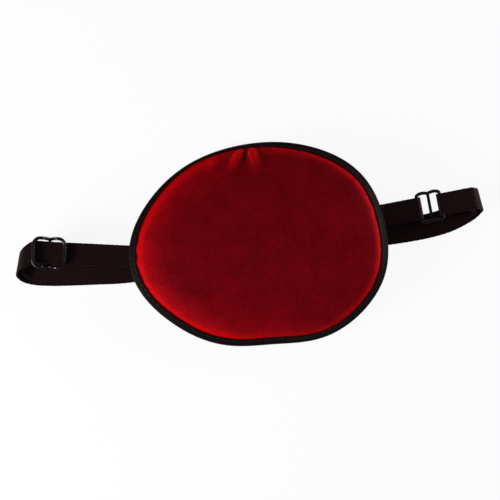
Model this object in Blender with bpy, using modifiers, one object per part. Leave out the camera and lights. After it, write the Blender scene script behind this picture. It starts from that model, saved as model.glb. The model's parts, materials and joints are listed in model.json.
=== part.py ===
"""A padded eye patch lying face up, with its elastic strap folded flat behind it.

The patch is a front cover, a padding and a back cover, held together at the rim by a folded
binding tape. One long elastic leaves the left rim, passes through a slider, folds back behind
the patch, folds again on the right, loops through the outer bar of a joining ring and returns
along itself to the slider's middle bar. A short strap ties the ring's inner bar to the right rim.

The elastic is modelled in the stretches between its fold lines, because each stretch moves as
one. The frame has +X to the wearer's strap on the right, +Y up the patch, +Z out of the front.
The origin is on the face that lies on the table, under the middle of the patch.
"""

import math

import bmesh
import bpy
from mathutils import Vector

MM = 0.001

# Patch
PATCH_WIDTH = 115.0 * MM
PATCH_HEIGHT = 90.4 * MM
# How far the cut stands outside (over 1) or inside an ellipse, every 30 degrees from +X.
FULLNESS = (0.997, 1.023, 1.010, 0.993, 0.987, 0.975, 1.000, 0.980, 1.006, 1.004, 1.097, 1.078)
COVER_THICKNESS = 0.4 * MM
PADDING_AT_RIM = 0.6 * MM
FRONT_CROWN = 4.5 * MM
BACK_CROWN = 0.8 * MM
CROWN_REACH = 6.0 * MM  # distance from the rim in which most of the crown is reached
ARCH_MIDDLE = -0.7 * MM  # the line of y along which the patch stands highest
ARCH_MARGIN = 0.7 * MM

# Binding tape
TAPE_THICKNESS = 0.4 * MM
TAPE_FRONT = 3.2 * MM  # width that shows on the front
TAPE_ROLL = 1.7 * MM  # how much of that is rolled to the back at the upper left
TAPE_ROLL_AT = math.radians(112)
TAPE_ROLL_SPREAD = math.radians(70)
TAPE_NOSE = 1.0 * MM
SEAM_INSET = 0.7 * MM  # from the tape's free edge

# Elastic strap
STRAP_WIDTH = 10.0 * MM
STRAP_THICKNESS = 0.8 * MM
STRAP_END_THICKNESS = 0.4 * MM  # where it is drawn tight round the slider's middle bar
TAB_LENGTH = 8.0 * MM  # behind the rim
INNER_SHIFT = 2.0 * MM  # how far the inner layer has slipped up the outer one
END_TAIL = 6.0 * MM  # sewn back under itself at the slider's middle bar
END_START = 2.0 * MM  # from the slider's outer bar to where its strap end begins

# Slider and ring
BAR_DIAMETER = 1.5 * MM
SLIDER_PITCH = 7.0 * MM  # from bar to bar
RING_PITCH = 5.2 * MM
LOBE_BULGE = 0.45 * MM
SLIDER_CORNER = 2.4 * MM
RING_CORNER = 0.6 * MM
CORNER_SHARE = 0.62  # how far out along a lobe its corner begins
BAR_SLIM = 0.92  # the middle bar against the rim
STRAP_PLAY = 0.25 * MM  # between a strap's edge and a rail

# Thread
THREAD_DIAMETER = 0.3 * MM
BARTACK_LENGTH = 7.0 * MM
BARTACK_WIDTH = 2.0 * MM
BARTACK_TURNS = 8

# Clearances
LAYER_GAP = 0.3 * MM
FOLD_GAP = 0.3 * MM
BAR_GAP = 0.15 * MM
CORE_GAP = 0.15 * MM  # between the padding and its covers
TOUCH_GAP = 0.05 * MM

# Places of the strap, from the patch's own edges
LEFT_EDGE = -PATCH_WIDTH / 2
RIGHT_EDGE = PATCH_WIDTH / 2
SLIDER_AT = Vector((LEFT_EDGE - 34.5 * MM, 11.1 * MM))
SLIDE_ANGLE = math.radians(-12.0)
FOLD_OFFSET = 1.5 * MM  # from the patch's edge to the fold line
LEFT_FOLD_ANGLE = math.radians(83)
RING_ANGLE = math.radians(1.5)
RING_AT = Vector((RIGHT_EDGE + 15.7 * MM, 3.9 * MM))  # middle of the ring's inner bar
LOOP_SPLIT_X = RIGHT_EDGE + 33.5 * MM  # where the ring's loop ends and the wing begins
LOW_LEFT_Y = -2.9 * MM  # middle of the lower layers at the left edge
LOW_RIGHT_Y = -5.0 * MM

# Levels, from the table up
OUTER_LOW = STRAP_THICKNESS / 2
INNER_LOW = OUTER_LOW + STRAP_THICKNESS + LAYER_GAP
LOW_TOP = INNER_LOW + STRAP_THICKNESS / 2
END_RADIUS = BAR_DIAMETER / 2 + BAR_GAP + STRAP_END_THICKNESS / 2
SLIDER_DEPTH = STRAP_THICKNESS / 2 + BAR_GAP + STRAP_END_THICKNESS + BAR_GAP + BAR_DIAMETER / 2
UNDER_END = TOUCH_GAP + THREAD_DIAMETER + BAR_GAP  # for the stitching below the strap's end
UPPER = LOW_TOP + UNDER_END + STRAP_END_THICKNESS / 2 + END_RADIUS + SLIDER_DEPTH
LOOP_RADIUS = BAR_DIAMETER / 2 + BAR_GAP + STRAP_THICKNESS / 2
RING_LEVEL = UPPER - LOOP_RADIUS
RING_LOW = RING_LEVEL - LOOP_RADIUS
LOOP_INNER = UPPER - STRAP_THICKNESS - LAYER_GAP
FOLD_AXIS_LEVEL = UPPER + STRAP_THICKNESS / 2 + TOUCH_GAP

# The stack held in the binding
STACK = 2 * (COVER_THICKNESS + LAYER_GAP + CORE_GAP) + PADDING_AT_RIM
TAPE_HALF = STACK / 2 + TAPE_THICKNESS
ARCH_HALF = PATCH_HEIGHT / 2 + ARCH_MARGIN
TAB_TOP = UPPER + STRAP_THICKNESS / 2
TAB_REACH = STRAP_WIDTH + STRAP_WIDTH / 8  # how far from the arch's middle a tab's edge lies
ARCH_RISE = (TAB_TOP + LAYER_GAP + THREAD_DIAMETER) / (1 - (TAB_REACH / ARCH_HALF) ** 2)

# Distances in from the edge at which the covers and the padding have their rings.
RINGS = [share * PATCH_HEIGHT / 2 for share in (0.7, 0.45, 0.29, 0.18, 0.11)]
RINGS += [TAPE_FRONT, (TAPE_FRONT + TAPE_NOSE) / 2, TAPE_NOSE]

SEGMENTS = 48
STEPS_PER_SPAN = 3


# ---------------------------------------------------------------- scene and materials


def clear_scene():
    for obj in list(bpy.data.objects):
        bpy.data.objects.remove(obj)


def new_collection(name):
    collection = bpy.data.collections.new(name)
    bpy.context.scene.collection.children.link(collection)
    return collection


def new_material(name, colour, roughness, metallic=0.0):
    material = bpy.data.materials.new(name)
    material.use_nodes = True
    shader = material.node_tree.nodes["Principled BSDF"]
    shader.inputs["Base Color"].default_value = (*colour, 1.0)
    shader.inputs["Roughness"].default_value = roughness
    shader.inputs["Metallic"].default_value = metallic
    return material


def place(name, data, material, collection, parent=None):
    """An object whose data is already in world coordinates, riding on parent if there is one."""
    obj = bpy.data.objects.new(name, data)
    obj.data.materials.append(material)
    collection.objects.link(obj)
    if parent:
        obj.parent = parent
        bpy.context.view_layer.update()
        obj.matrix_parent_inverse = parent.matrix_world.inverted()
    return obj


def pivot(name, location, angle, collection, parent=None):
    """An empty on a joint's axis."""
    empty = bpy.data.objects.new(name, None)
    empty.empty_display_size = 5 * MM
    collection.objects.link(empty)
    empty.location = location
    empty.rotation_euler = (0, 0, angle)
    if parent:
        empty.parent = parent
        bpy.context.view_layer.update()
        empty.matrix_parent_inverse = parent.matrix_world.inverted()
    return empty


# ---------------------------------------------------------------- curves


def catmull(a, b, c, d, t):
    """The smooth curve through b and c, a share t of the way from b to c."""
    return (
        2 * b
        + (c - a) * t
        + (2 * a - 5 * b + 4 * c - d) * t * t
        + (3 * b - a - 3 * c + d) * t**3
    ) / 2


def smooth(stations, steps=STEPS_PER_SPAN):
    """Points on a smooth curve through the stations, which are tuples of numbers."""
    rows = [Vector(station) for station in stations]
    rows = [2 * rows[0] - rows[1], *rows, 2 * rows[-1] - rows[-2]]
    points = []
    for a, b, c, d in zip(rows, rows[1:], rows[2:], rows[3:]):
        points += [catmull(a, b, c, d, step / steps) for step in range(steps)]
    return [*points, rows[-2]]


def outline_radius(angle):
    """Distance from the middle of the patch to its edge."""
    across = math.cos(angle) / (PATCH_WIDTH / 2)
    up = math.sin(angle) / (PATCH_HEIGHT / 2)
    turn = angle / math.tau * len(FULLNESS)
    first = math.floor(turn)
    near = [FULLNESS[(first + k) % len(FULLNESS)] for k in (-1, 0, 1, 2)]
    return catmull(*near, turn - first) / math.hypot(across, up)


def arch(y):
    """Height of the binding's underside over the table, along the patch."""
    return ARCH_RISE * (1 - ((y - ARCH_MIDDLE) / ARCH_HALF) ** 2)


def rim_middle(y):
    return arch(y) + TAPE_HALF


def on_patch(angle, inset, height):
    """A point this far in from the edge, and this far over the middle of the rim."""
    radius = outline_radius(angle) - inset
    x, y = radius * math.cos(angle), radius * math.sin(angle)
    return Vector((x, y, rim_middle(y) + height))


# ---------------------------------------------------------------- patch


def crown(inset):
    """Share of the crown reached at this distance in from the edge."""
    return 0.0 if inset < TAPE_NOSE else 1 - math.exp(-(inset - TAPE_NOSE) / CROWN_REACH)


def disc(height):
    """A disc of rings that fills the outline; height(inset) is over the middle of the rim."""
    mesh = bmesh.new()
    bmesh.ops.create_circle(mesh, cap_ends=True, cap_tris=True, segments=SEGMENTS, radius=1)
    for ring in range(1, len(RINGS)):
        edge = [e for e in mesh.edges if e.is_boundary]
        grown = bmesh.ops.extrude_edge_only(mesh, edges=edge)["geom"]
        verts = [v for v in grown if isinstance(v, bmesh.types.BMVert)]
        bmesh.ops.scale(mesh, vec=((ring + 1) / ring, (ring + 1) / ring, 1), verts=verts)
    for vert in mesh.verts:
        angle = math.atan2(vert.co.y, vert.co.x)
        ring = round(math.hypot(vert.co.x, vert.co.y))
        inset = RINGS[ring - 1] if ring else outline_radius(angle)
        vert.co = on_patch(angle, inset, height(inset))
    bmesh.ops.recalc_face_normals(mesh, faces=mesh.faces)
    if sum(face.normal.z for face in mesh.faces) < 0:
        bmesh.ops.reverse_faces(mesh, faces=mesh.faces)
    return mesh


def to_data(name, mesh):
    data = bpy.data.meshes.new(name)
    mesh.to_mesh(data)
    mesh.free()
    data.shade_smooth()
    return data


def solidify(obj, thickness, offset):
    modifier = obj.modifiers.new("thickness", "SOLIDIFY")
    modifier.thickness = thickness
    modifier.offset = offset
    modifier.use_even_offset = True




def front_height(inset):
    return STACK / 2 - LAYER_GAP + FRONT_CROWN * crown(inset)


def back_height(inset):
    return LAYER_GAP - STACK / 2 - BACK_CROWN * crown(inset)


def make_cover(name, height, inward, material, collection):
    """A cloth cover; inward is -1 where the cloth lies under the given face and 1 where over."""
    obj = place(name, to_data(name, disc(height)), material, collection)
    solidify(obj, COVER_THICKNESS, inward)


def make_padding(material, collection):
    over_back = COVER_THICKNESS + CORE_GAP
    mesh = disc(lambda inset: back_height(inset) + over_back)
    top = bmesh.ops.extrude_face_region(mesh, geom=list(mesh.faces))["geom"]
    for vert in [v for v in top if isinstance(v, bmesh.types.BMVert)]:
        angle = math.atan2(vert.co.y, vert.co.x)
        inset = outline_radius(angle) - math.hypot(vert.co.x, vert.co.y)
        slope = 1 + FRONT_CROWN / CROWN_REACH * (1 - crown(inset)) / 2
        under_front = (COVER_THICKNESS + CORE_GAP) * slope
        vert.co.z = rim_middle(vert.co.y) + front_height(inset) - under_front
    bmesh.ops.recalc_face_normals(mesh, faces=mesh.faces)
    place("padding", to_data("padding", mesh), material, collection)


def tape_front(angle):
    """Width of tape that shows on the front, less where it is rolled to the back."""
    away = (angle - TAPE_ROLL_AT + math.pi) % math.tau - math.pi
    if abs(away) > TAPE_ROLL_SPREAD:
        return TAPE_FRONT
    return TAPE_FRONT - TAPE_ROLL * math.cos(away / TAPE_ROLL_SPREAD * math.pi / 2) ** 2


def tape_section(angle):
    """(inset, height) from the front leg's free edge, round the nose, to the back leg's."""
    front = tape_front(angle)
    back = 2 * TAPE_FRONT - front
    front_leg = [front, (front + TAPE_NOSE) / 2]
    back_leg = [(back + TAPE_NOSE) / 2, back]
    nose = [math.radians(a) for a in (90, 55, 20, -20, -55, -90)]
    section = [(inset, TAPE_HALF + FRONT_CROWN * crown(inset)) for inset in front_leg]
    section += [(TAPE_NOSE * (1 - math.cos(a)), TAPE_HALF * math.sin(a)) for a in nose]
    return section + [(inset, -TAPE_HALF - BACK_CROWN * crown(inset)) for inset in back_leg]


def make_binding(material, collection):
    """The folded tape: an open channel round the outline, thickened inwards."""
    mesh = bmesh.new()
    bmesh.ops.create_circle(mesh, segments=SEGMENTS, radius=1)
    angles = [math.tau * k / SEGMENTS for k in range(SEGMENTS)]
    rings = [list(mesh.verts)]
    for _ in tape_section(0)[1:]:
        last = set(rings[-1])
        edge = [e for e in mesh.edges if set(e.verts) <= last]
        grown = bmesh.ops.extrude_edge_only(mesh, edges=edge)["geom"]
        rings.append([v for v in grown if isinstance(v, bmesh.types.BMVert)])
    for row, ring in enumerate(rings):
        for vert in ring:
            turn = math.atan2(vert.co.y, vert.co.x) / math.tau * SEGMENTS
            angle = angles[round(turn) % SEGMENTS]
            vert.co = on_patch(angle, *tape_section(angle)[row])
    bmesh.ops.recalc_face_normals(mesh, faces=mesh.faces)
    front = min(mesh.faces, key=lambda face: -face.calc_center_median().z)
    if front.normal.z < 0:
        bmesh.ops.reverse_faces(mesh, faces=mesh.faces)
    obj = place("edge_binding", to_data("edge_binding", mesh), material, collection)
    solidify(obj, TAPE_THICKNESS, -1)


# ---------------------------------------------------------------- straps


def slide_point(along):
    """A point of the upper left strap's straight run, measured from the slider to the patch."""
    run = Vector((math.cos(SLIDE_ANGLE), math.sin(SLIDE_ANGLE)))
    return SLIDER_AT + along * run


def strap(name, stations, material, collection, parent=None, steps=STEPS_PER_SPAN, thickness=None):
    """A flat strap along stations (x, y, z, angle), where angle is the way it is wide."""
    rows = smooth(stations, steps)
    lowest, highest = min(row[2] for row in stations), max(row[2] for row in stations)
    centres = [Vector((x, y, min(max(z, lowest), highest))) for x, y, z, _ in rows]
    last = len(rows) - 1
    mesh = bmesh.new()
    bmesh.ops.create_grid(mesh, x_segments=last, y_segments=1, size=0.5)
    for vert in mesh.verts:
        k = round((vert.co.x + 0.5) * last)
        across = Vector((math.cos(rows[k][3]), math.sin(rows[k][3]), 0))
        vert.co = centres[k] + across * vert.co.y * STRAP_WIDTH
    obj = place(name, to_data(name, mesh), material, collection, parent)
    solidify(obj, thickness or STRAP_THICKNESS, 0)
    return obj


def station(x, y, z, degrees):
    return (x, y, z, math.radians(degrees))


SLIDE_ACROSS = math.degrees(SLIDE_ANGLE) + 90
RING_ACROSS = math.degrees(RING_ANGLE) + 90
FOLD_ALONG = (LEFT_EDGE - FOLD_OFFSET - SLIDER_AT.x) / math.cos(SLIDE_ANGLE)
LEFT_FOLD = slide_point(FOLD_ALONG)
LEFT_CUT = math.degrees(LEFT_FOLD_ANGLE)
RIGHT_FOLD_X = RIGHT_EDGE + FOLD_OFFSET


def left_fold_x(y):
    """Where the left fold line crosses this y."""
    return LEFT_FOLD.x + (y - LEFT_FOLD.y) / math.tan(LEFT_FOLD_ANGLE)


LOW_LEFT_X = left_fold_x(LOW_LEFT_Y)


def layer(stations, shift, rise):
    """The same run, shifted the way it is wide and raised."""
    return [
        (x + shift * math.cos(angle), y + shift * math.sin(angle), z + rise, angle)
        for x, y, z, angle in stations
    ]


def on_slide(along, z=UPPER, across=SLIDE_ACROSS):
    point = slide_point(along)
    return station(point.x, point.y, z, across)


def low_left_run():
    """Centre of the outer layer on the table, from the left fold of the elastic to the patch."""
    return [
        station(LEFT_EDGE - 43.0 * MM, 2.9 * MM, OUTER_LOW, 78),
        station(LEFT_EDGE - 36.0 * MM, 1.3 * MM, OUTER_LOW, 80),
        station(LEFT_EDGE - 28.0 * MM, 0.1 * MM, OUTER_LOW, 83),
        station(LEFT_EDGE - 16.0 * MM, -1.4 * MM, OUTER_LOW, 84),
        station(LOW_LEFT_X - FOLD_GAP / 2, LOW_LEFT_Y, OUTER_LOW, LEFT_CUT),
    ]


def low_right_run():
    """Centre of the outer layer on the table, from the patch to the right fold of the elastic."""
    return [
        station(RIGHT_FOLD_X + FOLD_GAP / 2, LOW_RIGHT_Y, OUTER_LOW, 90),
        station(RIGHT_EDGE + 10.0 * MM, -5.1 * MM, OUTER_LOW, 91),
        station(RIGHT_EDGE + 19.5 * MM, -4.8 * MM, OUTER_LOW, 93),
        station(RIGHT_EDGE + 28.0 * MM, -3.7 * MM, OUTER_LOW, 98),
        station(RIGHT_EDGE + 34.0 * MM, -2.0 * MM, OUTER_LOW, 103),
    ]


def make_back_band(elastic, collection):
    """The two layers that lie behind the patch."""
    run = [
        station(LOW_LEFT_X + FOLD_GAP / 2, LOW_LEFT_Y, OUTER_LOW, LEFT_CUT),
        station(LEFT_EDGE / 2, -3.0 * MM, OUTER_LOW, 88),
        station(0, -2.6 * MM, OUTER_LOW, 90),
        station(RIGHT_EDGE / 2, -3.6 * MM, OUTER_LOW, 91),
        station(RIGHT_FOLD_X - FOLD_GAP / 2, LOW_RIGHT_Y, OUTER_LOW, 90),
    ]
    strap("back_band_outer", run, elastic, collection)
    inner = layer(run, INNER_SHIFT, INNER_LOW - OUTER_LOW)
    strap("back_band_inner", inner, elastic, collection)


def make_left_strap(elastic, collection, wing):
    """Both layers of the left wing: the straight run under the slider, the fold, the return."""
    outer = [
        on_slide(FOLD_ALONG - FOLD_GAP / 2, across=LEFT_CUT),
        on_slide(FOLD_ALONG * 0.7),
        on_slide(0),
        on_slide(-SLIDER_PITCH),
        station(LEFT_EDGE - 46.0 * MM, 10.9 * MM, UPPER, 76),
        station(LEFT_EDGE - 48.6 * MM, 8.9 * MM, UPPER - 1.1 * MM, 71),
        station(LEFT_EDGE - 49.0 * MM, 7.3 * MM, (UPPER + OUTER_LOW) / 2, 71),
        station(LEFT_EDGE - 47.4 * MM, 5.0 * MM, OUTER_LOW + 0.9 * MM, 74),
        *low_left_run(),
    ]
    strap("left_strap_outer", outer, elastic, collection, wing)
    low = layer(low_left_run(), INNER_SHIFT, INNER_LOW - OUTER_LOW)
    middle = (LOOP_INNER + INNER_LOW) / 2
    inner = [
        station(LEFT_EDGE - 44.2 * MM, 11.3 * MM, middle + 0.9 * MM, 76),
        station(LEFT_EDGE - 45.8 * MM, 9.9 * MM, middle + 0.7 * MM, 72),
        station(LEFT_EDGE - 46.4 * MM, 8.3 * MM, middle, 72),
        station(LEFT_EDGE - 45.2 * MM, 6.5 * MM, middle - 0.8 * MM, 75),
        *low,
    ]
    strap("left_strap_inner", inner, elastic, collection, wing)


def make_right_strap(elastic, collection, wing):
    """Both layers of the right wing, from the patch round the fold to the ring's loop."""
    low = low_right_run()
    outer = [
        *low,
        station(RIGHT_EDGE + 39.5 * MM, 0.3 * MM, OUTER_LOW + 0.3 * MM, 103),
        station(RIGHT_EDGE + 43.0 * MM, 2.6 * MM, OUTER_LOW + 1.5 * MM, 98),
        station(RIGHT_EDGE + 43.6 * MM, 3.6 * MM, UPPER - 1.8 * MM, 96),
        station(RIGHT_EDGE + 41.0 * MM, 4.6 * MM, UPPER, 93),
        station(LOOP_SPLIT_X + FOLD_GAP / 2, 5.0 * MM, UPPER, RING_ACROSS),
    ]
    strap("right_strap_outer", outer, elastic, collection, wing)
    middle = (LOOP_INNER + INNER_LOW) / 2
    inner = [
        *layer(low, INNER_SHIFT / 2, INNER_LOW - OUTER_LOW),
        station(RIGHT_EDGE + 38.2 * MM, 1.2 * MM, INNER_LOW + 0.2 * MM, 102),
        station(RIGHT_EDGE + 40.6 * MM, 3.2 * MM, middle, 96),
        station(RIGHT_EDGE + 38.4 * MM, 4.6 * MM, LOOP_INNER + 0.1 * MM, 93),
        station(LOOP_SPLIT_X + FOLD_GAP / 2, 5.0 * MM, LOOP_INNER, RING_ACROSS),
    ]
    strap("right_strap_inner", inner, elastic, collection, wing)


def ring_point(along, z, across=0.0, angle=RING_ACROSS):
    """A station in the ring's own plane: along from its inner bar, across from its middle."""
    run = Vector((math.cos(RING_ANGLE), math.sin(RING_ANGLE)))
    side = Vector((-run.y, run.x))
    point = RING_AT + along * run + across * side
    return station(point.x, point.y, z, angle)


def half_turn(centre, level, radius, towards, steps=6):
    """(along, z) round a bar, from its top to its underside, bulging towards -1 or 1."""
    angles = [math.pi / 2 - math.pi * k / steps for k in range(steps + 1)]
    return [(centre + towards * radius * math.cos(a), level + radius * math.sin(a)) for a in angles]


def make_ring_loop(elastic, collection, ring):
    """The long elastic's loop round the ring's outer bar."""
    bar = 2 * RING_PITCH
    split = (LOOP_SPLIT_X - FOLD_GAP / 2 - RING_AT.x) / math.cos(RING_ANGLE)
    turn = half_turn(bar, RING_LEVEL, LOOP_RADIUS, -1)
    run = [
        ring_point(split, UPPER, 0.0),
        ring_point((split + bar) / 2, UPPER),
        *[ring_point(along, z) for along, z in turn],
        ring_point(bar + 0.35 * (split - bar), RING_LOW + 0.2 * MM),
        ring_point(bar + 0.7 * (split - bar), LOOP_INNER - 0.5 * MM),
        ring_point(split, LOOP_INNER),
    ]
    strap("ring_loop", run, elastic, collection, ring, steps=2)


def make_short_strap(elastic, collection, wing):
    """From the right fold line, over and round the ring's inner bar, and back under itself."""
    start = (RIGHT_FOLD_X + FOLD_GAP / 2 - RING_AT.x) / math.cos(RING_ANGLE)
    turn = half_turn(0.0, RING_LEVEL, LOOP_RADIUS, 1)
    lead_in = [-1.5 * LOOP_RADIUS, -0.5 * LOOP_RADIUS]  # stations close up, so the turn starts clean
    run = [
        ring_point(start, UPPER, angle=90),
        ring_point(start / 2, UPPER),
        *[ring_point(along, UPPER) for along in lead_in],
        *[ring_point(along, z) for along, z in turn],
        *[ring_point(along, RING_LOW) for along in reversed(lead_in)],
        ring_point(start / 2, RING_LOW),
        ring_point(start, RING_LOW, angle=90),
    ]
    strap("short_strap", run, elastic, collection, wing, steps=2)


def make_strap_end(elastic, collection, slider):
    """The free end of the long elastic, sewn round the slider's middle bar."""
    level = UPPER - SLIDER_DEPTH
    turn = half_turn(0.0, level, END_RADIUS, 1)
    run = [
        on_slide(-SLIDER_PITCH - END_START, level + END_RADIUS),
        on_slide(-SLIDER_PITCH / 2, level + END_RADIUS),
        *[on_slide(along, z) for along, z in turn],
        on_slide(-END_TAIL / 2, level - END_RADIUS),
        on_slide(-END_TAIL, level - END_RADIUS),
    ]
    strap("strap_end", run, elastic, collection, slider, steps=2, thickness=STRAP_END_THICKNESS)


def make_tabs(elastic, collection):
    """The two stretches sewn behind the binding."""
    cut = on_slide(FOLD_ALONG + FOLD_GAP / 2, across=LEFT_CUT)
    left = [cut, on_slide(FOLD_ALONG + FOLD_OFFSET + TAB_LENGTH)]
    strap("left_tab", left, elastic, collection, steps=2)
    start = (RIGHT_FOLD_X - FOLD_GAP / 2 - RING_AT.x) / math.cos(RING_ANGLE)
    for name, z in (("right_tab_upper", UPPER), ("right_tab_lower", RING_LOW)):
        right = [ring_point(start - FOLD_OFFSET - TAB_LENGTH, z), ring_point(start, z, angle=90)]
        strap(name, right, elastic, collection, steps=2)


# ---------------------------------------------------------------- slider and ring


def tube(name, points, radius, material, collection, parent=None, cyclic=False, sides=2):
    """A round wire along world points."""
    curve = bpy.data.curves.new(name, "CURVE")
    curve.dimensions = "3D"
    curve.bevel_depth = radius
    curve.bevel_resolution = sides
    curve.use_fill_caps = not cyclic
    spline = curve.splines.new("POLY")
    spline.points.add(len(points) - 1)
    for dot, point in zip(spline.points, points):
        dot.co = (*point, 1)
    spline.use_cyclic_u = cyclic
    return place(name, curve, material, collection, parent)


def meshed(obj, collection):
    """The curve object as a mesh object of the same name and place."""
    bpy.context.view_layer.update()
    graph = bpy.context.evaluated_depsgraph_get()
    data = bpy.data.meshes.new_from_object(obj.evaluated_get(graph))
    name, parent, inverse = obj.name, obj.parent, obj.matrix_parent_inverse.copy()
    bpy.data.objects.remove(obj)
    welded = bmesh.new()
    welded.from_mesh(data)
    bmesh.ops.remove_doubles(welded, verts=welded.verts, dist=0.001 * MM)
    welded.to_mesh(data)
    welded.free()
    new = bpy.data.objects.new(name, data)
    collection.objects.link(new)
    new.parent = parent
    new.matrix_parent_inverse = inverse
    return new


def frame_loop(pitch, rise, corner, steps=16):
    """A buckle's rim as (along, across, height) from its middle bar: a waist and two lobes."""
    reach = STRAP_WIDTH / 2 + STRAP_PLAY + BAR_DIAMETER / 2
    side = []
    for k in range(steps + 1):
        share = math.cos(math.pi * k / steps)
        bulge = LOBE_BULGE * math.sin(math.pi * abs(share))
        turned = max(0.0, abs(share) - CORNER_SHARE) / (1 - CORNER_SHARE)
        drop = corner * (1 - math.sqrt(1 - turned**2))
        climb = min(1.0, abs(share) / CORNER_SHARE)
        side.append((pitch * share, reach + bulge - drop, rise * climb * climb * (3 - 2 * climb)))
    return side + [(along, -across, height) for along, across, height in reversed(side)]


def make_buckle(name, pitch, rise, corner, plastic, collection, cutters, parent, to_world):
    """A rim with two lobes and the bar across its waist, as one piece."""
    radius = BAR_DIAMETER / 2
    rim = [to_world(*point) for point in frame_loop(pitch, rise, corner)]
    buckle = meshed(tube(name, rim, radius, plastic, collection, parent, cyclic=True), collection)
    reach = STRAP_WIDTH / 2 + STRAP_PLAY + radius
    ends = [to_world(0, -reach, 0), to_world(0, reach, 0)]
    bar = tube(name + "_middle_bar", ends, radius * BAR_SLIM, plastic, cutters, parent)
    bar = meshed(bar, cutters)
    bar.hide_render = True
    bar.display_type = "WIRE"
    join = buckle.modifiers.new("middle bar", "BOOLEAN")
    join.operation = "UNION"
    join.object = bar


def slider_world(along, across, height):
    """From the slider's own axes to the world; height is over its middle bar."""
    point = slide_point(along)
    side = Vector((-math.sin(SLIDE_ANGLE), math.cos(SLIDE_ANGLE)))
    flat = point + across * side
    return Vector((flat.x, flat.y, UPPER - SLIDER_DEPTH + height))


def ring_world(along, across, height):
    """From the ring's own axes to the world, measured from its middle bar."""
    x, y, z, _ = ring_point(RING_PITCH + along, RING_LEVEL + height, across)
    return Vector((x, y, z))


# ---------------------------------------------------------------- threads


def make_rim_thread(name, seam, side, thread, collection):
    """A seam's thread all the way round the binding, on its front (side 1) or back (side -1)."""
    rise = FRONT_CROWN if side == 1 else BACK_CROWN
    points = []
    for k in range(SEGMENTS):
        angle = math.tau * k / SEGMENTS
        lift = TAPE_HALF + rise * crown(seam(angle)) + TOUCH_GAP + THREAD_DIAMETER * 0.6
        points.append(on_patch(angle, seam(angle), side * lift))
    tube(name, points, THREAD_DIAMETER / 2, thread, collection, cyclic=True, sides=0)


def front_seam(angle):
    return tape_front(angle) - SEAM_INSET


def back_seam(angle):
    return 2 * TAPE_FRONT - tape_front(angle) - SEAM_INSET


def make_bartack(name, middle, z, angle, thread, collection, parent=None):
    """A zigzag of thread across a strap; angle is the way the strap runs."""
    along = Vector((math.cos(angle), math.sin(angle), 0))
    across = Vector((-along.y, along.x, 0))
    centre = Vector((middle[0], middle[1], z))
    points = []
    for k in range(2 * BARTACK_TURNS + 1):
        out = (k / (2 * BARTACK_TURNS) - 0.5) * BARTACK_LENGTH
        swing = BARTACK_WIDTH / 2 * (1 if k % 2 else -1)
        points.append(centre + across * out + along * swing)
    tube(name, points, THREAD_DIAMETER / 2, thread, collection, parent, sides=0)


def make_threads(thread, collection, slider):
    make_rim_thread("binding_thread_front", front_seam, 1, thread, collection)
    make_rim_thread("binding_thread_back", back_seam, -1, thread, collection)
    under = UPPER - STRAP_THICKNESS / 2 - TOUCH_GAP - THREAD_DIAMETER / 2
    left = slide_point(FOLD_ALONG + FOLD_OFFSET + TAB_LENGTH / 2)
    make_bartack("left_tab_bartack", left, under, SLIDE_ANGLE, thread, collection)
    right = ring_point(RIGHT_EDGE - TAB_LENGTH / 2 - RING_AT.x, UPPER)
    under -= UPPER - RING_LOW
    make_bartack("right_tab_bartack", right, under, RING_ANGLE, thread, collection)
    end = slide_point(-END_TAIL * 0.6)
    below_end = UPPER - SLIDER_DEPTH - END_RADIUS - STRAP_END_THICKNESS / 2 - TOUCH_GAP
    below_end -= THREAD_DIAMETER / 2
    make_bartack("strap_end_bartack", end, below_end, SLIDE_ANGLE, thread, collection, slider)


# ---------------------------------------------------------------- assembly


def main():
    clear_scene()
    parts = new_collection("eye_patch")
    cutters = new_collection("cutters")

    red_satin = new_material("red_satin", (0.20, 0.0, 0.006), 0.5)
    lining = new_material("back_lining", (0.02, 0.016, 0.017), 0.7)
    wadding = new_material("wadding", (0.75, 0.74, 0.70), 0.95)
    tape = new_material("binding_tape", (0.012, 0.010, 0.010), 0.75)
    elastic = new_material("elastic", (0.010, 0.007, 0.008), 0.7)
    thread = new_material("thread", (0.010, 0.009, 0.009), 0.6)
    plastic = new_material("buckle_plastic", (0.012, 0.011, 0.012), 0.2)

    left_axis = (LEFT_FOLD.x, LEFT_FOLD.y, FOLD_AXIS_LEVEL)
    left_wing = pivot("left_fold_axis", left_axis, LEFT_FOLD_ANGLE - math.pi / 2, parts)
    right_axis = (RIGHT_FOLD_X, LOW_RIGHT_Y, FOLD_AXIS_LEVEL)
    right_wing = pivot("right_fold_axis", right_axis, 0, parts)
    slider_axis = (SLIDER_AT.x, SLIDER_AT.y, UPPER)
    slider = pivot("slider_run", slider_axis, SLIDE_ANGLE, parts, left_wing)
    ring_axis = (RING_AT.x, RING_AT.y, RING_LEVEL)
    ring = pivot("ring_axis", ring_axis, RING_ANGLE, parts, right_wing)

    make_cover("front_cover", front_height, -1, red_satin, parts)
    make_padding(wadding, parts)
    make_cover("back_cover", back_height, 1, lining, parts)
    make_binding(tape, parts)
    make_tabs(elastic, parts)
    make_back_band(elastic, parts)
    make_left_strap(elastic, parts, left_wing)
    make_strap_end(elastic, parts, slider)
    make_right_strap(elastic, parts, right_wing)
    make_short_strap(elastic, parts, right_wing)
    make_ring_loop(elastic, parts, ring)
    rise = SLIDER_DEPTH + STRAP_THICKNESS / 2 + STRAP_PLAY / 2 + BAR_DIAMETER / 2
    homes = (plastic, parts, cutters)
    make_buckle("slider", SLIDER_PITCH, rise, SLIDER_CORNER, *homes, slider, slider_world)
    make_buckle("ring", RING_PITCH, 0.0, RING_CORNER, *homes, ring, ring_world)
    make_threads(thread, parts, slider)


main()
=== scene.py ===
import json
import math

import bmesh
import bpy
import numpy as np
from mathutils import Matrix, Vector, noise

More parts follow.
